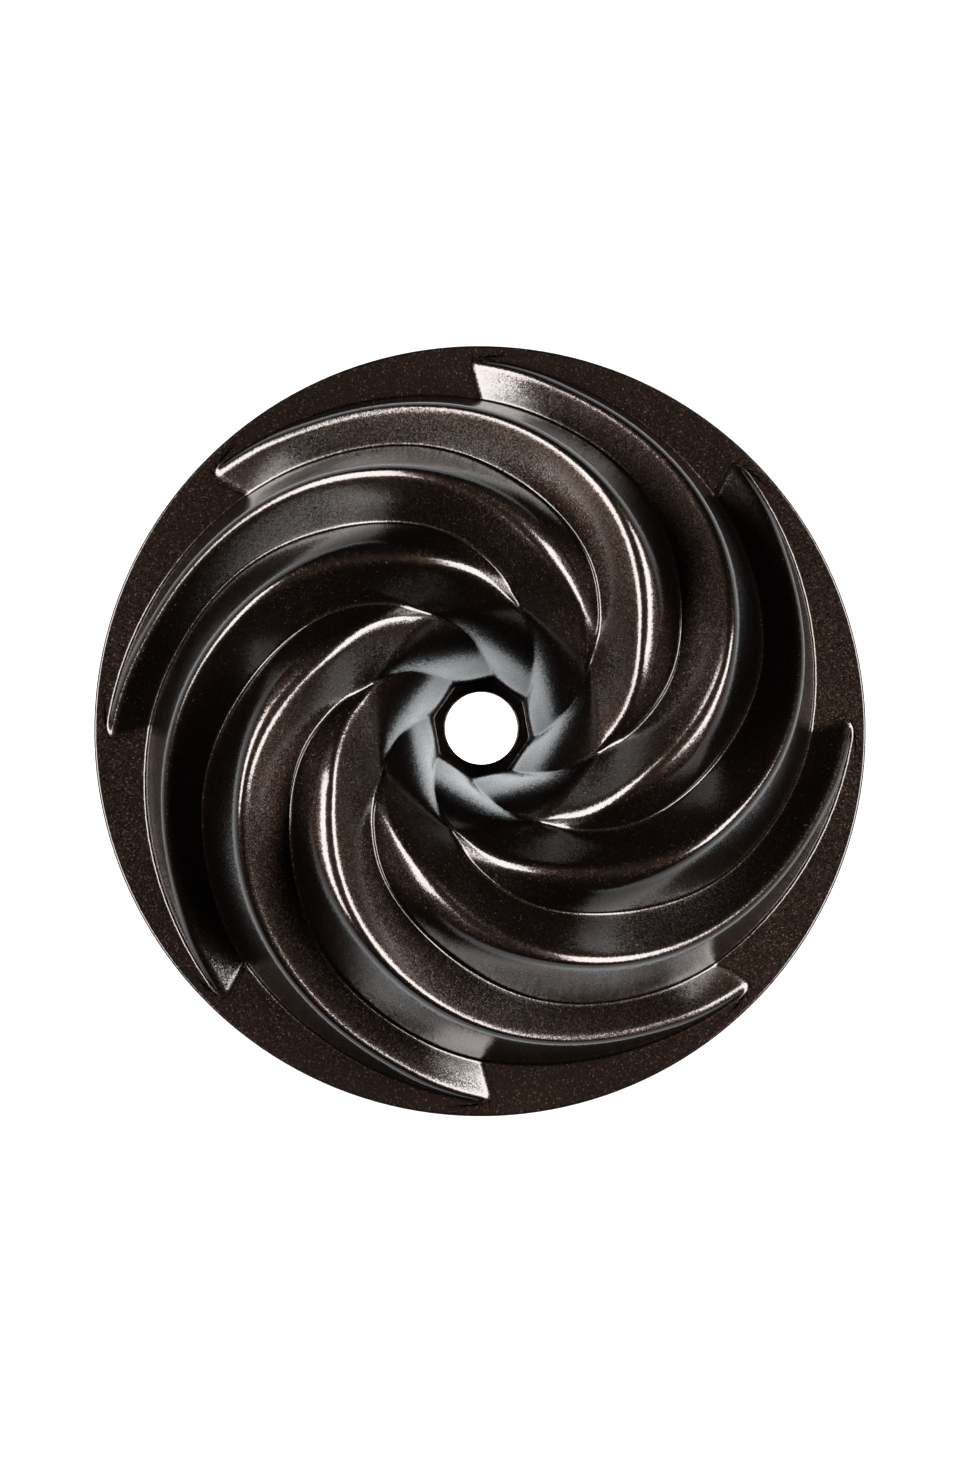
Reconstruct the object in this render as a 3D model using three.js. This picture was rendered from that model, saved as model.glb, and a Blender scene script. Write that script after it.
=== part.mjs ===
// Bundt pan: a ring-shaped cake mould cast in aluminium, with eight flutes that
// swirl from the rim, over the crown and down the central funnel.
// Millimetres, +Z up. The pan stands on its rim, crown up, and the origin is the
// centre of the circle that the rim rests on.
import * as THREE from 'three';

// Driving dimensions.
const FLUTE_COUNT = 8;
const RIM_RADIUS = 134;          // outer radius of the flat rim
const RIM_HEIGHT = 4.6;          // top of the rim above the resting plane
const RIM_ROUND = 1.8;           // rounding of the rim's upper outer edge
const HOLE_RADIUS = 12.5;        // round hole in the end of the centre tube
const TIP_DIRECTION = 46.5;      // direction in which the first flute's tip points, degrees
const VALLEY_ROUND = 1.3;        // width of the rounding on each side of a valley
// Width of the rounding on each side of a crest, which grows from the rim to the crown.
const CREST_ROUND_AT_RIM = 3.4;
const CREST_ROUND_ON_CROWN = 4.6;
const CROWN_START = 0.34;        // how far up the flutes the crown starts
const MOST_ROUNDING = 0.42;      // greatest share of a face that one rounding may take up

// How a layer moves sideways for each unit that it moves down: inward under the outer
// wall, outward behind the funnel, and straight down where the wall is highest.
const UPRIGHT_RADIUS = 65;
const LEAN_REACH = 60;
const MOST_INWARD_LEAN = -0.55;
const MOST_OUTWARD_LEAN = 0.45;

// Where the rim's division meets a flute's tip and its inner corner, in degrees clear of them.
const TIP_CLEARANCE = 0.4;
const CORNER_CLEARANCE = 2.6;
const RIM_EDGE_ANGLES = [0, 45, 90];
const TANGENT_STEP = 0.01;       // progress on each side when a line's direction is taken

// The wall is three layers. Depths are measured straight down from the outer surface.
const EXTERIOR_LAYER = { top: 0, bottom: 0.6 };
const CASTING_LAYER = { top: 1.1, bottom: 4.6 };
const INTERIOR_LAYER = { top: 5.2, bottom: 5.8 };
const COATING_RIM_END = 0.8;     // the exterior coating stops this far above the resting plane
const CASTING_EDGE_BREAK = 0.4;  // small chamfer under the rim
const INTERIOR_START = 0.012;    // how far up the flutes the interior coating starts

// A flute's crest and valley, from the rim to the end of the centre tube, where the
// flutes end in a short upright collar above the end plate.
// Each station is radius, height above the resting plane, and sweep: how far round
// the axis the line has turned since the tip, in degrees, clockwise negative.
const CREST_STATIONS = [
  [129.6, RIM_HEIGHT, 0],
  [124.9, 14.9, -8.7],
  [119.6, 26.1, -17.5],
  [107.6, 53.3, -40.1],
  [94.7, 73.7, -60.7],
  [82.7, 84.2, -77.5],
  [69.0, 85.0, -95.1],
  [57.4, 83.8, -111.5],
  [48.7, 77.8, -127.6],
  [42.0, 70.8, -143.0],
  [36.3, 63, -156.5],
  [27.3, 44.5, -172.5],
  [21.5, 28.5, -183.5],
  [18.0, 17.5, -190],
  [17.0, 10, -192],
];
const VALLEY_STATIONS = [
  [114.6, RIM_HEIGHT, -1.8],
  [111.0, 12.0, -9.4],
  [106.3, 21.7, -17.75],
  [96.1, 41.4, -34.4],
  [83.4, 57.8, -50.4],
  [73.7, 67.6, -63.4],
  [62.4, 71.5, -79.8],
  [52.2, 70.6, -92.6],
  [45.5, 68.9, -100.9],
  [40.5, 65.5, -106.9],
  [36.3, 60.8, -113.4],
  [27.3, 44.2, -130.4],
  [21.5, 28.3, -141.5],
  [18.0, 17.4, -148.5],
  [17.0, 10, -150.6],
];

// How finely the surface is divided.
const RING_COUNT = 15;           // rings between the rim and the tube's end
const CREST_STEPS = 2;
const WALL_STEPS = 3;
const VALLEY_STEPS = 1;
const RAMP_STEPS = 2;

const FLUTE_PITCH = 360 / FLUTE_COUNT;
const crestLine = stationCurve(CREST_STATIONS);
const valleyLine = stationCurve(VALLEY_STATIONS);

function stationCurve(stations) {
  const points = stations.map((station) => new THREE.Vector3(...station));
  return new THREE.CatmullRomCurve3(points, false, 'catmullrom', 0.5);
}

// A point given as radius, height and direction in degrees.
function fromCylindrical(radius, height, direction) {
  const angle = THREE.MathUtils.degToRad(direction);
  return new THREE.Vector3(radius * Math.cos(angle), radius * Math.sin(angle), height);
}

// A point of the flute's crest or valley. progress runs from 0 at the rim to 1 at the
// tube's end, and flutes are numbered clockwise.
function linePoint(line, progress, flute) {
  const station = line.getPoint(THREE.MathUtils.clamp(progress, 0, 1));
  return fromCylindrical(station.x, station.y, TIP_DIRECTION - flute * FLUTE_PITCH + station.z);
}

// The steep wall from a flute's crest out to the next flute's valley.
function wallPoint(progress, flute, share) {
  const crest = crestLine.getPoint(progress);
  const valley = valleyLine.getPoint(progress);
  valley.z -= FLUTE_PITCH;
  const station = crest.lerp(valley, share);
  return fromCylindrical(station.x, station.y, TIP_DIRECTION - flute * FLUTE_PITCH + station.z);
}

// The ramp from a flute's valley up to its own crest.
function rampPoint(progress, flute, share) {
  const valley = linePoint(valleyLine, progress, flute);
  return valley.lerp(linePoint(crestLine, progress, flute), share);
}

// The share of the way from one line to another that a rounding of this width takes up.
function roundingShare(progress, line, flute, far, width) {
  const before = linePoint(line, progress - TANGENT_STEP, flute);
  const along = linePoint(line, progress + TANGENT_STEP, flute).sub(before).normalize();
  const across = far.clone().sub(linePoint(line, progress, flute)).cross(along).length();
  return Math.min(MOST_ROUNDING, width / across);
}

function crestRound(progress) {
  const share = Math.min(progress / CROWN_START, 1);
  return THREE.MathUtils.lerp(CREST_ROUND_AT_RIM, CREST_ROUND_ON_CROWN, share);
}

function roundedCorner(start, corner, end, steps) {
  const curve = new THREE.QuadraticBezierCurve3(start, corner, end);
  return curve.getPoints(steps);
}

// One ring round the pan's outer surface, flute by flute, clockwise.
function fluteRing(progress) {
  const points = [];
  const round = crestRound(progress);
  for (let flute = 0; flute < FLUTE_COUNT; flute += 1) {
    const next = flute + 1;
    const crest = linePoint(crestLine, progress, flute);
    const valley = linePoint(valleyLine, progress, next);
    const ownValley = linePoint(valleyLine, progress, flute);
    const nextCrest = linePoint(crestLine, progress, next);
    const crestOnRamp = roundingShare(progress, crestLine, flute, ownValley, round);
    const crestOnWall = roundingShare(progress, crestLine, flute, valley, round);
    const valleyOnWall = roundingShare(progress, valleyLine, next, crest, VALLEY_ROUND);
    const valleyOnRamp = roundingShare(progress, valleyLine, next, nextCrest, VALLEY_ROUND);
    const wallStart = wallPoint(progress, flute, crestOnWall);
    const wallEnd = wallPoint(progress, flute, 1 - valleyOnWall);
    const rampStart = rampPoint(progress, next, valleyOnRamp);
    const rampEnd = rampPoint(progress, flute, 1 - crestOnRamp);
    points.push(...roundedCorner(rampEnd, crest, wallStart, CREST_STEPS));
    for (let step = 1; step < WALL_STEPS; step += 1) {
      const share = THREE.MathUtils.lerp(crestOnWall, 1 - valleyOnWall, step / WALL_STEPS);
      points.push(wallPoint(progress, flute, share));
    }
    points.push(...roundedCorner(wallEnd, valley, rampStart, VALLEY_STEPS));
    for (let step = 1; step < RAMP_STEPS; step += 1) {
      const share = THREE.MathUtils.lerp(valleyOnRamp, 1 - crestOnRamp, step / RAMP_STEPS);
      points.push(rampPoint(progress, next, share));
    }
  }
  return points;
}

// A ring moved into the wall: straight down by the depth, and sideways towards the
// cake space, which lies inward of the outer wall and outward of the funnel.
function sunkRing(progress, depth) {
  const mean = (crestLine.getPoint(progress).x + valleyLine.getPoint(progress).x) / 2;
  const lean = THREE.MathUtils.clamp(
    (UPRIGHT_RADIUS - mean) / LEAN_REACH,
    MOST_INWARD_LEAN,
    MOST_OUTWARD_LEAN,
  );
  return fluteRing(progress).map((point) => {
    const radius = Math.hypot(point.x, point.y);
    const scale = (radius + lean * depth) / radius;
    return new THREE.Vector3(point.x * scale, point.y * scale, point.z - depth);
  });
}

// Rings of one depth from the rim to the tube's end. The interior coating's own first
// ring is among them, so that all three layers are divided alike.
function sunkRings(depth) {
  const rings = [sunkRing(0, depth), sunkRing(INTERIOR_START, depth)];
  for (let ring = 1; ring <= RING_COUNT; ring += 1) {
    rings.push(sunkRing(ring / RING_COUNT, depth));
  }
  return rings;
}

// The directions in which the rim's circles are divided: one for each point of a flute
// ring, kept clear of the overhanging tips.
function rimDirections() {
  const perFlute = fluteRing(0).length / FLUTE_COUNT;
  const valleyIndex = CREST_STEPS + WALL_STEPS;
  const directions = [];
  for (let flute = 0; flute < FLUTE_COUNT; flute += 1) {
    const start = TIP_DIRECTION - flute * FLUTE_PITCH - TIP_CLEARANCE;
    const valley = TIP_DIRECTION - (flute + 1) * FLUTE_PITCH + CORNER_CLEARANCE;
    const end = start - FLUTE_PITCH;
    for (let index = 0; index < valleyIndex; index += 1) {
      directions.push(THREE.MathUtils.lerp(start, valley, index / valleyIndex));
    }
    const rampCount = perFlute - valleyIndex;
    for (let index = 0; index < rampCount; index += 1) {
      directions.push(THREE.MathUtils.lerp(valley, end, index / rampCount));
    }
  }
  return directions;
}

function circleRing(radius, height, directions) {
  return directions.map((direction) => fromCylindrical(radius, height, direction));
}

// The rounded upper edge of the rim at one depth, from the outside in.
function rimEdge(depth) {
  const directions = rimDirections();
  return RIM_EDGE_ANGLES.map((degrees) => {
    const angle = THREE.MathUtils.degToRad(degrees);
    const radius = RIM_RADIUS - RIM_ROUND + (RIM_ROUND - depth) * Math.cos(angle);
    const height = RIM_HEIGHT - RIM_ROUND + (RIM_ROUND - depth) * Math.sin(angle);
    return circleRing(radius, height, directions);
  });
}

// The edge of the hole at one depth, in line with the last ring of the funnel.
function holeEdge(depth) {
  const last = sunkRing(1, depth);
  const directions = last.map((point) => THREE.MathUtils.radToDeg(Math.atan2(point.y, point.x)));
  return circleRing(HOLE_RADIUS, last[0].z, directions);
}

// A strip of triangles between two rings, facing out of the wall, or into it if reversed.
// Every strip is cut along the same diagonal, the short one of its slanting cells, so
// that neighbouring layers stay parallel.
function strip(nearStart, farStart, size, reversed) {
  const index = [];
  for (let point = 0; point < size; point += 1) {
    const nextPoint = (point + 1) % size;
    const near = nearStart + point;
    const nearNext = nearStart + nextPoint;
    const far = farStart + point;
    const farNext = farStart + nextPoint;
    if (reversed) {
      index.push(near, nearNext, far, nearNext, farNext, far);
    } else {
      index.push(near, far, nearNext, nearNext, far, farNext);
    }
  }
  return index;
}

// A closed layer between two sets of rings, both running from the rim to the hole.
function layerSolid(outside, inside) {
  const size = outside[0].length;
  const positions = [...outside, ...inside].flat().flatMap((point) => [point.x, point.y, point.z]);
  const insideStart = outside.length * size;
  const index = [];
  for (let ring = 1; ring < outside.length; ring += 1) {
    index.push(...strip((ring - 1) * size, ring * size, size, false));
  }
  for (let ring = 1; ring < inside.length; ring += 1) {
    index.push(...strip(insideStart + (ring - 1) * size, insideStart + ring * size, size, true));
  }
  index.push(...strip(0, insideStart, size, true));
  index.push(...strip(insideStart - size, insideStart + (inside.length - 1) * size, size, false));
  const geometry = new THREE.BufferGeometry();
  geometry.setAttribute('position', new THREE.Float32BufferAttribute(positions, 3));
  geometry.setIndex(index);
  geometry.computeVertexNormals();
  return geometry;
}

function exteriorCoating() {
  const { top, bottom } = EXTERIOR_LAYER;
  const directions = rimDirections();
  const outside = [
    circleRing(RIM_RADIUS - top, COATING_RIM_END, directions),
    ...rimEdge(top),
    ...sunkRings(top),
    holeEdge(top),
  ];
  const inside = [
    circleRing(RIM_RADIUS - bottom, COATING_RIM_END, directions),
    ...rimEdge(bottom),
    ...sunkRings(bottom),
    holeEdge(bottom),
  ];
  return layerSolid(outside, inside);
}

function castBody() {
  const { top, bottom } = CASTING_LAYER;
  const directions = rimDirections();
  const edge = RIM_RADIUS - top;
  const outside = [
    circleRing(edge - CASTING_EDGE_BREAK, 0, directions),
    circleRing(edge, CASTING_EDGE_BREAK, directions),
    ...rimEdge(top),
    ...sunkRings(top),
    holeEdge(top),
  ];
  const inside = [...sunkRings(bottom), holeEdge(bottom)];
  return layerSolid(outside, inside);
}

function interiorCoating() {
  const { top, bottom } = INTERIOR_LAYER;
  const outside = [...sunkRings(top).slice(1), holeEdge(top)];
  const inside = [...sunkRings(bottom).slice(1), holeEdge(bottom)];
  return layerSolid(outside, inside);
}

function piece(name, geometry, material) {
  const mesh = new THREE.Mesh(geometry, material);
  mesh.name = name;
  return mesh;
}

const bronzeCoating = new THREE.MeshStandardMaterial({ color: 0x3a2f2a, roughness: 0.35, metalness: 0.7 });
const castAluminium = new THREE.MeshStandardMaterial({ color: 0xb9bcc0, roughness: 0.45, metalness: 1 });
const nonStickCoating = new THREE.MeshStandardMaterial({ color: 0x2b2b2d, roughness: 0.5, metalness: 0.1 });

const pan = new THREE.Group();
pan.add(piece('cast_body', castBody(), castAluminium));
pan.add(piece('exterior_coating', exteriorCoating(), bronzeCoating));
pan.add(piece('interior_coating', interiorCoating(), nonStickCoating));

export default pan;
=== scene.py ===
"""The looks of a cast bundt pan: eight swirling flutes, dark bronze sparkle coating
outside, non-stick coating inside, standing crown up on a white studio floor."""

import math

import bpy
import numpy as np
from mathutils import Matrix, Vector


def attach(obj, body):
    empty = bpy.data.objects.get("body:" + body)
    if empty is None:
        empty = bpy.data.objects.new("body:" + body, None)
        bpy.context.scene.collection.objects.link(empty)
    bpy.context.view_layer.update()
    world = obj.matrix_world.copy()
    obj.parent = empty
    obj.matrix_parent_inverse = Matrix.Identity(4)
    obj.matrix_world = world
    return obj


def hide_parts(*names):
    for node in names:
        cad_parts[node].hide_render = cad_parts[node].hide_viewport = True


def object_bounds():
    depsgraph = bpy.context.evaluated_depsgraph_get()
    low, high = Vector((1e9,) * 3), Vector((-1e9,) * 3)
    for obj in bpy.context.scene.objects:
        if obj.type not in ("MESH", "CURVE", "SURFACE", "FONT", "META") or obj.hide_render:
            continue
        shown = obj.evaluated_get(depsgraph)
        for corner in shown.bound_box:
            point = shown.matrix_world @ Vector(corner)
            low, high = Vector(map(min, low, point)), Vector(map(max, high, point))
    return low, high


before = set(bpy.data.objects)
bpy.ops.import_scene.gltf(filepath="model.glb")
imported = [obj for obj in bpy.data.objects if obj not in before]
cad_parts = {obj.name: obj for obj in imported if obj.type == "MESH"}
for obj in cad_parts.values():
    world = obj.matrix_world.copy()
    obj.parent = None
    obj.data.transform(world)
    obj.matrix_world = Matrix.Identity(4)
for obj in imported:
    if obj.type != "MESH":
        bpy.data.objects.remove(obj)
cad_low, cad_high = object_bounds()

# Sizes are in design millimetres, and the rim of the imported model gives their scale.
RIM_RADIUS = 134.0
MM = (cad_high.x - cad_low.x) / 2 / RIM_RADIUS

FLUTE_COUNT = 8
FLUTE_PITCH = 360 / FLUTE_COUNT
RIM_HEIGHT = 4.6
RIM_ROUND = 0.9
HOLE_RADIUS = 12.5
HOLE_ROUND = 0.5
TIP_DIRECTION = 46.5
FOOT_ROUND = 0.9
COATING_RIM_END = 0.8
EDGE_BREAK = 0.4

# Where the rim's division meets a flute's tip and its inner corner, in degrees clear of them.
TIP_CLEARANCE = 0.4
CORNER_CLEARANCE = 2.6

# Narrow flat bands beside sharp edges, which keep the shading from rounding them.
RIM_BAND = 0.15
FOOT_BAND = 0.25
HOLE_BAND = 0.2
UNDERSIDE_BAND = 0.3
END_PLATE_SHARE = 0.97

# Depths of the three layers, straight down from the outer surface.
EXTERIOR_LAYER = (0.0, 0.6)
CASTING_LAYER = (0.65, 4.6)
INTERIOR_LAYER = (4.65, 5.8)
INTERIOR_START = 0.012

# The interior coating's edge grows to full thickness over its first rings.
FEATHER_RINGS = 3
FEATHER_EDGE = 0.1

# How a layer moves sideways for each unit that it moves down: inward under the outer
# wall, outward behind the funnel, and straight down where the wall is highest.
UPRIGHT_RADIUS = 65
LEAN_REACH = 60
MOST_INWARD_LEAN = -0.55
MOST_OUTWARD_LEAN = 0.45

# A flute's crest and valley from the rim to the tube's end: radius, height, sweep in degrees.
CREST_STATIONS = [
    (129.6, RIM_HEIGHT, 0),
    (124.9, 14.9, -8.7),
    (119.6, 26.1, -17.5),
    (107.6, 53.3, -40.1),
    (94.7, 73.7, -60.7),
    (82.7, 84.2, -77.5),
    (69.0, 85.0, -95.1),
    (57.4, 83.8, -111.5),
    (48.7, 77.8, -127.6),
    (42.0, 70.8, -143.0),
    (36.3, 63, -156.5),
    (27.3, 44.5, -172.5),
    (21.5, 28.5, -183.5),
    (18.0, 17.5, -190),
    (17.0, 10, -192),
]
VALLEY_STATIONS = [
    (114.6, RIM_HEIGHT, -1.8),
    (111.0, 12.0, -9.4),
    (106.3, 21.7, -17.75),
    (96.1, 41.4, -34.4),
    (83.4, 57.8, -50.4),
    (73.7, 67.6, -63.4),
    (62.4, 71.5, -79.8),
    (52.2, 70.6, -92.6),
    (45.5, 68.9, -100.9),
    (40.5, 65.5, -106.9),
    (36.3, 60.8, -113.4),
    (27.3, 44.2, -130.4),
    (21.5, 28.3, -141.5),
    (18.0, 17.4, -148.5),
    (17.0, 10, -150.6),
]

# The crests are rounder on the crown than at the rim.
CREST_ROUND_AT_RIM = 3.4
CREST_ROUND_ON_CROWN = 4.6
CROWN_START = 0.34
VALLEY_ROUND = 1.3
MOST_ROUNDING = 0.42

# Small steps of progress: beside a point for its line's direction, and up a flute's foot.
TANGENT_STEP = 0.004
FOOT_CLIMB = 0.02

# Mesh divisions.
RING_COUNT = 150
CREST_STEPS = 8
WALL_STEPS = 12
VALLEY_STEPS = 6
RAMP_STEPS = 10
RIM_EDGE_STEPS = 8
FOOT_STEPS = 5
HOLE_EDGE_STEPS = 4

# Bronze finish: flakes of about a third of a millimetre. Most tilt a little and a few a lot.
FLAKE_CELLS_PER_METRE = 2700
FLAKE_RARITY = 5
FLAKE_TILT = 0.2
RARE_FLAKE_TILT = 0.7
COAT_RIPPLE = 0.07
BRONZE_DARK = (0.0050, 0.0031, 0.0024, 1)
BRONZE_LIGHT = (0.0064, 0.0040, 0.0031, 1)
BRONZE_EDGE = (0.3, 0.2, 0.16, 1)
BRONZE_CLOUDS_PER_METRE = 14

ALUMINIUM = (0.62, 0.62, 0.63, 1)
ALUMINIUM_GRAINS_PER_METRE = 1500
NONSTICK = (0.028, 0.027, 0.028, 1)
NONSTICK_GRAINS_PER_METRE = 900
GRAIN_HEIGHT = 0.0001

# Studio, in metres. Each floor falloff is where it starts and ends, and the levels there.
FLOOR_HALF = 3.0
FLOOR_GAP = 0.0003
FLOOR_COLOUR = (0.05, 0.05, 0.05, 1)
FLOOR_GLOW = (0.92, 0.97, 1, 1)
# Painted light: the floor glows dimmer to the left and right and brighter to the front and back,
# so the pan's walls show painted reflections.
PAINTED_GLOW_ACROSS = ((0.178, 0.25), (1, 0.55))
PAINTED_GLOW_ALONG = ((0.27, 0.4), (1.06, 1.9))
# A painted pool of light: the floor glows brightest straight under the hole, so the hole looks
# white and the funnel shows a painted reflection of it.
PAINTED_LIGHT_POOL_UNDER_HOLE = ((0.012, 0.03), (2.4, 0.5))
# Painted shade: the floor under the middle of the pan glows half as bright as the floor further
# out.
PAINTED_SHADE_UNDER_PAN = ((0.06, 0.1), (1, 2))
SOFTBOX_SIDE = 1.063
SOFTBOX_HEIGHT = 1.007
SOFTBOX_SIZE = (1.5, 0.72)
SOFTBOX_POWER = 172
SOFTBOX_TINT = (1, 0.97, 0.95)
SOFTBOX_TARGET = Vector((0, 0, 0.05))
WORLD_COLOUR = (0.9, 0.95, 1, 1)
WORLD_STRENGTH = 0.02

# The camera's place and target, whose heights are above the rim.
CAMERA_PLACE = Vector((-0.040, -0.090, 1.5))
CAMERA_TARGET = Vector((0.0014, -0.0007, 0))
CAMERA_LENS = 106.7
CAMERA_SENSOR = 36


# ---------------------------------------------------------------- the fluted surface

def natural_spline(stations):
    """A function from progress, 0 to 1, to a smooth line through the stations."""
    values = np.array(stations, float)
    count = len(values)
    matrix = np.eye(count)
    slopes = np.zeros_like(values)
    for i in range(1, count - 1):
        matrix[i, i - 1:i + 2] = (1, 4, 1)
        slopes[i] = 6 * (values[i + 1] - 2 * values[i] + values[i - 1])
    bend = np.linalg.solve(matrix, slopes)

    def at(progress):
        place = min(max(progress, 0.0), 1.0) * (count - 1)
        i = min(int(place), count - 2)
        f = place - i
        g = 1 - f
        return (g * values[i] + f * values[i + 1]
                + (g ** 3 - g) / 6 * bend[i] + (f ** 3 - f) / 6 * bend[i + 1])

    return at


crest_line = natural_spline(CREST_STATIONS)
valley_line = natural_spline(VALLEY_STATIONS)


def to_xyz(cylindrical, flute):
    """Points from radius, height and sweep on a flute, which are numbered clockwise."""
    radius, height, sweep = np.moveaxis(np.asarray(cylindrical, float), -1, 0)
    angle = np.radians(TIP_DIRECTION - flute * FLUTE_PITCH + sweep)
    return np.stack([radius * np.cos(angle), radius * np.sin(angle), height], -1)


def rounding_share(line, progress, flute, far, width):
    """The share of the way to far that a rounding of this width along the line takes up."""
    near = to_xyz(line(progress), flute)
    ahead = to_xyz(line(progress + TANGENT_STEP), flute)
    along = ahead - to_xyz(line(progress - TANGENT_STEP), flute)
    along /= np.linalg.norm(along)
    across = np.linalg.norm(np.cross(far - near, along))
    return min(MOST_ROUNDING, width / across)


def rounded(start, corner, end, steps):
    """Points along a curve that leaves start and reaches end in line with the corner."""
    t = np.linspace(0, 1, steps + 1)[:, None]
    return (1 - t) ** 2 * start + 2 * t * (1 - t) * corner + t ** 2 * end


def crest_round(progress):
    share = min(progress / CROWN_START, 1)
    return CREST_ROUND_AT_RIM + share * (CREST_ROUND_ON_CROWN - CREST_ROUND_AT_RIM)


def flute_ring(progress):
    """One ring round the outer surface, flute by flute, clockwise."""
    crest_station = crest_line(progress)
    valley_station = valley_line(progress)
    next_valley = valley_station - (0, 0, FLUTE_PITCH)

    def wall(share):
        share = np.asarray(share, float)[..., None]
        return to_xyz(crest_station * (1 - share) + next_valley * share, 0)

    crest = to_xyz(crest_station, 0)
    own_valley = to_xyz(valley_station, 0)
    valley = to_xyz(valley_station, 1)
    next_crest = to_xyz(crest_station, 1)
    crest_on_ramp = rounding_share(crest_line, progress, 0, own_valley, crest_round(progress))
    crest_on_wall = rounding_share(crest_line, progress, 0, valley, crest_round(progress))
    valley_on_wall = rounding_share(valley_line, progress, 1, crest, VALLEY_ROUND)
    valley_on_ramp = rounding_share(valley_line, progress, 1, next_crest, VALLEY_ROUND)

    ramp_end = crest + crest_on_ramp * (own_valley - crest)
    ramp_start = valley + valley_on_ramp * (next_crest - valley)
    next_ramp_end = next_crest + crest_on_ramp * (valley - next_crest)
    wall_shares = np.linspace(crest_on_wall, 1 - valley_on_wall, WALL_STEPS + 1)[1:-1]
    ramp_shares = np.linspace(0, 1, RAMP_STEPS + 1)[1:-1, None]
    sector = np.concatenate([
        rounded(ramp_end, crest, wall(crest_on_wall), CREST_STEPS),
        wall(wall_shares),
        rounded(wall(1 - valley_on_wall), valley, ramp_start, VALLEY_STEPS),
        ramp_start + ramp_shares * (next_ramp_end - ramp_start),
    ])
    ring = []
    for flute in range(FLUTE_COUNT):
        turn = -math.radians(flute * FLUTE_PITCH)
        c, s = math.cos(turn), math.sin(turn)
        ring.append(sector @ np.array([[c, s, 0], [-s, c, 0], [0, 0, 1]]))
    return np.concatenate(ring)


def lean(progress):
    """How far a layer moves outward for each unit that it moves down."""
    mean = (crest_line(progress)[0] + valley_line(progress)[0]) / 2
    return min(max((UPRIGHT_RADIUS - mean) / LEAN_REACH, MOST_INWARD_LEAN), MOST_OUTWARD_LEAN)


def sunk_ring(progress, depth):
    """A flute ring at a depth below the outer surface."""
    ring = flute_ring(progress)
    radius = np.hypot(ring[:, 0], ring[:, 1])
    scale = (radius + lean(progress) * depth) / radius
    return ring * np.stack([scale, scale, np.ones_like(scale)], 1) - (0, 0, depth)


def outward(ring):
    """Level unit normals of a ring, pointing away from the pan's wall."""
    along = np.roll(ring, -1, 0)[:, :2] - np.roll(ring, 1, 0)[:, :2]
    along /= np.linalg.norm(along, axis=1, keepdims=True)
    return np.stack([-along[:, 1], along[:, 0], np.zeros(len(ring))], 1)


def circle(radius, height, directions):
    return np.stack([radius * np.cos(directions), radius * np.sin(directions),
                     np.full(len(directions), height)], 1)


def rim_directions():
    """Where the rim's circles are divided, one direction for each point of a flute ring."""
    valley = CREST_STEPS + WALL_STEPS
    per_flute = len(flute_ring(0)) // FLUTE_COUNT
    directions = []
    for flute in range(FLUTE_COUNT):
        start = TIP_DIRECTION - flute * FLUTE_PITCH - TIP_CLEARANCE
        middle = TIP_DIRECTION - (flute + 1) * FLUTE_PITCH + CORNER_CLEARANCE
        directions.append(np.linspace(start, middle, valley + 1))
        directions.append(np.linspace(middle, start - FLUTE_PITCH, per_flute - valley + 1)[1:-1])
    return np.radians(np.concatenate(directions))


def rim_edge(depth):
    """The rounded upper edge of the rim, from the outside in."""
    rings = []
    for angle in np.linspace(0, math.pi / 2, RIM_EDGE_STEPS + 1):
        radius = RIM_RADIUS - RIM_ROUND + (RIM_ROUND - depth) * math.cos(angle)
        height = RIM_HEIGHT - RIM_ROUND + (RIM_ROUND - depth) * math.sin(angle)
        rings.append(circle(radius, height, rim_directions()))
    return rings


def foot_progress(rise):
    """The progress up the flutes at which they have risen this far."""
    return FOOT_CLIMB * rise / (crest_line(FOOT_CLIMB)[1] - crest_line(0)[1])


def foot_rings(depth):
    """The small hollow rounding where the flutes stand on the rim, from the rim in."""
    normals = outward(sunk_ring(0, depth))
    rings = [sunk_ring(0, depth) + normals * (FOOT_ROUND + FOOT_BAND)]
    for angle in np.linspace(0, math.pi / 2, FOOT_STEPS + 1):
        rise = FOOT_ROUND * (1 - math.cos(angle))
        reach = FOOT_ROUND * (1 - math.sin(angle))
        rings.append(sunk_ring(foot_progress(rise), depth) + normals * reach)
    return rings


def climb_rings(depth):
    """The rings from the top of the foot's rounding to the end of the centre tube."""
    shares = np.linspace(foot_progress(FOOT_ROUND), 1, RING_COUNT + 1)[1:]
    return [sunk_ring(p, depth) for p in shares]


def hole_directions():
    """Where the hole's circles are divided, in line with the last ring of the flutes."""
    last = sunk_ring(1, 0)
    return np.arctan2(last[:, 1], last[:, 0])


def skin(name, rings):
    """A closed mesh through rings that follow each other round the section of a wall."""
    size = len(rings[0])
    vertices = np.concatenate(rings) * MM
    point = np.arange(size)
    following = (point + 1) % size
    faces = []
    for i in range(len(rings)):
        near, far = i * size, (i + 1) % len(rings) * size
        faces.append(np.stack([near + point, far + point, far + following, near + following], 1))
    faces = np.concatenate(faces)
    mesh = bpy.data.meshes.new(name)
    mesh.from_pydata(vertices.tolist(), [], faces.tolist())
    mesh.polygons.foreach_set("use_smooth", [True] * len(faces))
    mesh.update()
    piece = bpy.data.objects.new(name, mesh)
    bpy.context.scene.collection.objects.link(piece)
    return piece


# ---------------------------------------------------------------- the three pieces

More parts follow.
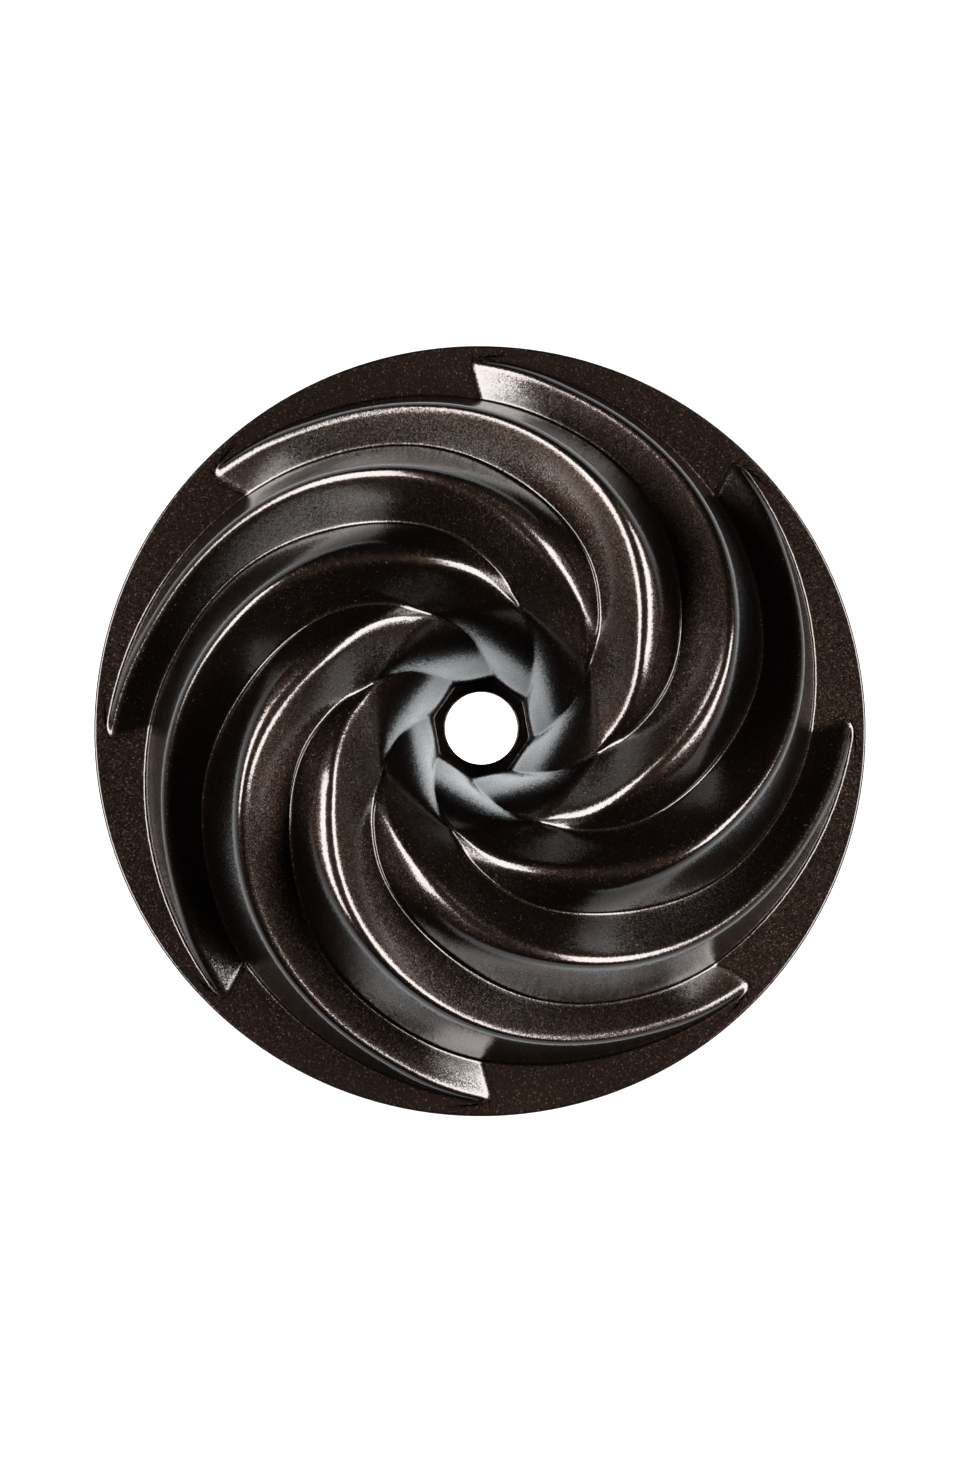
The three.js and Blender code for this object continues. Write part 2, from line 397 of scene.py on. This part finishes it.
def exterior_coating():
    top, bottom = EXTERIOR_LAYER
    edge = rim_directions()
    hole = hole_directions()
    last_height = sunk_ring(1, top)[0, 2]
    outside = [
        circle(RIM_RADIUS - RIM_BAND, COATING_RIM_END, edge),
        circle(RIM_RADIUS, COATING_RIM_END + RIM_BAND, edge),
        *rim_edge(top),
        circle(RIM_RADIUS - RIM_ROUND - RIM_BAND, RIM_HEIGHT, edge),
        *foot_rings(top),
        *climb_rings(top),
        sunk_ring(1, top) * (END_PLATE_SHARE, END_PLATE_SHARE, 1),
        circle(HOLE_RADIUS + HOLE_ROUND + HOLE_BAND, last_height, hole),
    ]
    for angle in np.linspace(0, math.pi / 2, HOLE_EDGE_STEPS + 1):
        outside.append(circle(HOLE_RADIUS + HOLE_ROUND * (1 - math.sin(angle)),
                              last_height - HOLE_ROUND * (1 - math.cos(angle)), hole))
    inside = [
        circle(RIM_RADIUS - bottom, COATING_RIM_END, edge),
        *rim_edge(bottom),
        *foot_rings(bottom),
        *climb_rings(bottom),
        circle(HOLE_RADIUS, last_height - bottom, hole),
    ]
    return skin("bronze_finish", outside + inside[::-1])


def cast_body():
    top, bottom = CASTING_LAYER
    edge = rim_directions()
    hole = hole_directions()
    radius = RIM_RADIUS - top
    outside = [
        circle(radius - EDGE_BREAK, 0, edge),
        circle(radius, EDGE_BREAK, edge),
        *rim_edge(top),
        *foot_rings(top),
        *climb_rings(top),
        circle(HOLE_RADIUS, sunk_ring(1, top)[0, 2], hole),
    ]
    inside = [
        sunk_ring(0, bottom) + outward(sunk_ring(0, bottom)) * UNDERSIDE_BAND,
        sunk_ring(0, bottom),
        *climb_rings(bottom),
        circle(HOLE_RADIUS, sunk_ring(1, bottom)[0, 2], hole),
    ]
    return skin("cast_aluminium_body", outside + inside[::-1])


def interior_coating():
    top, bottom = INTERIOR_LAYER
    hole = hole_directions()
    shares = np.linspace(INTERIOR_START, 1, RING_COUNT + 1)
    outside = [sunk_ring(p, top) for p in shares]
    inside = []
    for i, p in enumerate(shares):
        growth = min(1, (i + FEATHER_EDGE) / FEATHER_RINGS)
        inside.append(sunk_ring(p, top + (bottom - top) * growth))
    outside.append(circle(HOLE_RADIUS, sunk_ring(1, top)[0, 2], hole))
    inside.append(circle(HOLE_RADIUS + HOLE_ROUND, sunk_ring(1, bottom)[0, 2], hole))
    inside.append(circle(HOLE_RADIUS, sunk_ring(1, bottom)[0, 2] + HOLE_ROUND, hole))
    return skin("nonstick_finish", outside + inside[::-1])


# ---------------------------------------------------------------- materials

def new_material(name):
    material = bpy.data.materials.new(name)
    material.use_nodes = True
    tree = material.node_tree
    shader = next(n for n in tree.nodes if n.type == "BSDF_PRINCIPLED")
    return material, tree, shader


def add_node(tree, kind, **settings):
    node = tree.nodes.new(kind)
    for key, value in settings.items():
        setattr(node, key, value)
    return node


def scaled(tree, vector, scale):
    """A vector made longer or shorter, by a number or by another node's output."""
    node = add_node(tree, "ShaderNodeVectorMath", operation="SCALE")
    tree.links.new(vector, node.inputs[0])
    if isinstance(scale, (int, float)):
        node.inputs["Scale"].default_value = scale
    else:
        tree.links.new(scale, node.inputs["Scale"])
    return node.outputs[0]


def turned_normal(tree, turn):
    """The surface's normal, turned by a small vector."""
    surface = add_node(tree, "ShaderNodeNewGeometry")
    total = add_node(tree, "ShaderNodeVectorMath", operation="ADD")
    tree.links.new(surface.outputs["Normal"], total.inputs[0])
    tree.links.new(turn, total.inputs[1])
    unit = add_node(tree, "ShaderNodeVectorMath", operation="NORMALIZE")
    tree.links.new(total.outputs[0], unit.inputs[0])
    return unit.outputs[0]


def bronze_material():
    """Dark metal with sparkling flakes under a clear coat with a slight ripple."""
    material, tree, shader = new_material("bronze_sparkle")
    link = tree.links.new
    place = add_node(tree, "ShaderNodeTexCoord")
    flakes = add_node(tree, "ShaderNodeTexVoronoi")
    flakes.inputs["Scale"].default_value = FLAKE_CELLS_PER_METRE
    link(place.outputs["Object"], flakes.inputs["Vector"])
    tilt = add_node(tree, "ShaderNodeVectorMath", operation="SUBTRACT")
    tilt.inputs[1].default_value = (0.5, 0.5, 0.5)
    link(flakes.outputs["Color"], tilt.inputs[0])
    chance = add_node(tree, "ShaderNodeTexWhiteNoise")
    link(flakes.outputs["Position"], chance.inputs["Vector"])
    rare = add_node(tree, "ShaderNodeMath", operation="POWER")
    rare.inputs[1].default_value = FLAKE_RARITY
    link(chance.outputs["Value"], rare.inputs[0])
    amount = add_node(tree, "ShaderNodeMath", operation="MULTIPLY_ADD")
    amount.inputs[1].default_value = RARE_FLAKE_TILT
    amount.inputs[2].default_value = FLAKE_TILT
    link(rare.outputs[0], amount.inputs[0])
    flake_turn = scaled(tree, tilt.outputs[0], amount.outputs[0])
    link(turned_normal(tree, flake_turn), shader.inputs["Normal"])
    coat_turn = scaled(tree, tilt.outputs[0], COAT_RIPPLE)
    link(turned_normal(tree, coat_turn), shader.inputs["Coat Normal"])
    cloud = add_node(tree, "ShaderNodeTexNoise")
    cloud.inputs["Scale"].default_value = BRONZE_CLOUDS_PER_METRE
    cloud.inputs["Detail"].default_value = 3
    link(place.outputs["Object"], cloud.inputs["Vector"])
    tint = add_node(tree, "ShaderNodeValToRGB")
    tint.color_ramp.elements[0].position = 0.35
    tint.color_ramp.elements[0].color = BRONZE_DARK
    tint.color_ramp.elements[1].position = 0.65
    tint.color_ramp.elements[1].color = BRONZE_LIGHT
    link(cloud.outputs["Fac"], tint.inputs["Fac"])
    link(tint.outputs["Color"], shader.inputs["Base Color"])
    shader.inputs["Metallic"].default_value = 1
    shader.inputs["Roughness"].default_value = 0.40
    shader.inputs["Specular Tint"].default_value = BRONZE_EDGE
    shader.inputs["Coat Weight"].default_value = 1
    shader.inputs["Coat Roughness"].default_value = 0.16
    shader.inputs["Coat IOR"].default_value = 1.3
    return material


def grained_material(name, colour, metallic, roughness, grains, strength):
    """A plain colour with a fine grain in its surface."""
    material, tree, shader = new_material(name)
    place = add_node(tree, "ShaderNodeTexCoord")
    grain = add_node(tree, "ShaderNodeTexNoise")
    grain.inputs["Scale"].default_value = grains
    tree.links.new(place.outputs["Object"], grain.inputs["Vector"])
    bump = add_node(tree, "ShaderNodeBump")
    bump.inputs["Strength"].default_value = strength
    bump.inputs["Distance"].default_value = GRAIN_HEIGHT
    tree.links.new(grain.outputs["Fac"], bump.inputs["Height"])
    tree.links.new(bump.outputs["Normal"], shader.inputs["Normal"])
    shader.inputs["Base Color"].default_value = colour
    shader.inputs["Metallic"].default_value = metallic
    shader.inputs["Roughness"].default_value = roughness
    return material


def aluminium_material():
    return grained_material("cast_aluminium", ALUMINIUM, metallic=1, roughness=0.38,
                            grains=ALUMINIUM_GRAINS_PER_METRE, strength=0.3)


def nonstick_material():
    return grained_material("nonstick_coating", NONSTICK, metallic=0, roughness=0.36,
                            grains=NONSTICK_GRAINS_PER_METRE, strength=0.25)


def dress(piece, material, node):
    piece.data.materials.append(material)
    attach(piece, "root")
    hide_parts(node)


dress(exterior_coating(), bronze_material(), "exterior_coating")
dress(cast_body(), aluminium_material(), "cast_body")
dress(interior_coating(), nonstick_material(), "interior_coating")


# ---------------------------------------------------------------- studio

def falloff(tree, value, reach_and_levels):
    """A level that eases from one to another while the value passes through the reach."""
    reach, levels = reach_and_levels
    ease = add_node(tree, "ShaderNodeMapRange", interpolation_type="SMOOTHSTEP")
    ease.inputs["From Min"].default_value, ease.inputs["From Max"].default_value = reach
    ease.inputs["To Min"].default_value, ease.inputs["To Max"].default_value = levels
    tree.links.new(value, ease.inputs["Value"])
    return ease.outputs["Result"]


def absolute(tree, value):
    size = add_node(tree, "ShaderNodeMath", operation="ABSOLUTE")
    tree.links.new(value, size.inputs[0])
    return size.outputs[0]


def multiply(tree, a, b):
    product = add_node(tree, "ShaderNodeMath", operation="MULTIPLY")
    tree.links.new(a, product.inputs[0])
    tree.links.new(b, product.inputs[1])
    return product.outputs[0]


def white_floor():
    """A dark floor whose glow makes it white, with painted light: dimmer to the left and right
    and under the pan's middle, brighter to the front and back, and a painted pool under the hole
    that shines up through it.
    """
    mesh = bpy.data.meshes.new("studio_floor")
    signs = [(-1, -1), (1, -1), (1, 1), (-1, 1)]
    corners = [(x * FLOOR_HALF, y * FLOOR_HALF, 0) for x, y in signs]
    mesh.from_pydata(corners, [], [(0, 1, 2, 3)])
    floor = bpy.data.objects.new("studio_floor", mesh)
    bpy.context.scene.collection.objects.link(floor)
    floor.location.z = cad_low.z - FLOOR_GAP
    material, tree, shader = new_material("studio_white")
    shader.inputs["Base Color"].default_value = FLOOR_COLOUR
    shader.inputs["Roughness"].default_value = 0.9
    shader.inputs["Emission Color"].default_value = FLOOR_GLOW
    place = add_node(tree, "ShaderNodeTexCoord")
    axes = add_node(tree, "ShaderNodeSeparateXYZ")
    tree.links.new(place.outputs["Object"], axes.inputs[0])
    away = add_node(tree, "ShaderNodeVectorMath", operation="LENGTH")
    tree.links.new(place.outputs["Object"], away.inputs[0])
    # Painted light: the floor glows dimmer to the left and right and brighter to the front and
    # back.
    across = falloff(tree, absolute(tree, axes.outputs["X"]), PAINTED_GLOW_ACROSS)
    along = falloff(tree, absolute(tree, axes.outputs["Y"]), PAINTED_GLOW_ALONG)
    # Painted pool of light under the hole, which shines up through it into the funnel.
    painted_hole_light_pool = falloff(tree, away.outputs["Value"], PAINTED_LIGHT_POOL_UNDER_HOLE)
    # Painted shade: the glow is halved under the middle of the pan.
    painted_pan_shade = falloff(tree, away.outputs["Value"], PAINTED_SHADE_UNDER_PAN)
    glow = multiply(tree, multiply(tree, across, along), multiply(tree, painted_hole_light_pool, painted_pan_shade))
    tree.links.new(glow, shader.inputs["Emission Strength"])
    mesh.materials.append(material)


def softbox(name, side):
    """A flat rectangular light that faces the middle of the pan."""
    data = bpy.data.lights.new(name, "AREA")
    data.shape = "RECTANGLE"
    data.size, data.size_y = SOFTBOX_SIZE
    data.energy = SOFTBOX_POWER
    data.color = SOFTBOX_TINT
    light = bpy.data.objects.new(name, data)
    bpy.context.scene.collection.objects.link(light)
    light.location = (side, 0, SOFTBOX_HEIGHT)
    aim = SOFTBOX_TARGET - light.location
    light.rotation_mode = "QUATERNION"
    light.rotation_quaternion = aim.to_track_quat("-Z", "Y")


def studio_world():
    world = bpy.data.worlds.new("studio")
    world.use_nodes = True
    background = next(n for n in world.node_tree.nodes if n.type == "BACKGROUND")
    background.inputs["Color"].default_value = WORLD_COLOUR
    background.inputs["Strength"].default_value = WORLD_STRENGTH
    bpy.context.scene.world = world


def camera():
    """Nearly straight above the pan, a little towards the viewer and to the left."""
    data = bpy.data.cameras.new("camera")
    data.lens = CAMERA_LENS
    data.sensor_width = CAMERA_SENSOR
    data.sensor_fit = "AUTO"
    rim_top = Vector((0, 0, RIM_HEIGHT * MM))
    place = rim_top + CAMERA_PLACE
    aim = rim_top + CAMERA_TARGET
    viewer = bpy.data.objects.new("camera", data)
    bpy.context.scene.collection.objects.link(viewer)
    viewer.location = place
    viewer.rotation_mode = "QUATERNION"
    back = (place - aim).normalized()
    up = (Vector((0, 1, 0)) - back * back.y).normalized()
    viewer.rotation_quaternion = Matrix((up.cross(back), up, back)).transposed().to_quaternion()
    bpy.context.scene.camera = viewer


white_floor()
softbox("softbox_left", -SOFTBOX_SIDE)
softbox("softbox_right", SOFTBOX_SIDE)
studio_world()
camera()
bpy.context.scene.view_settings.view_transform = "Standard"
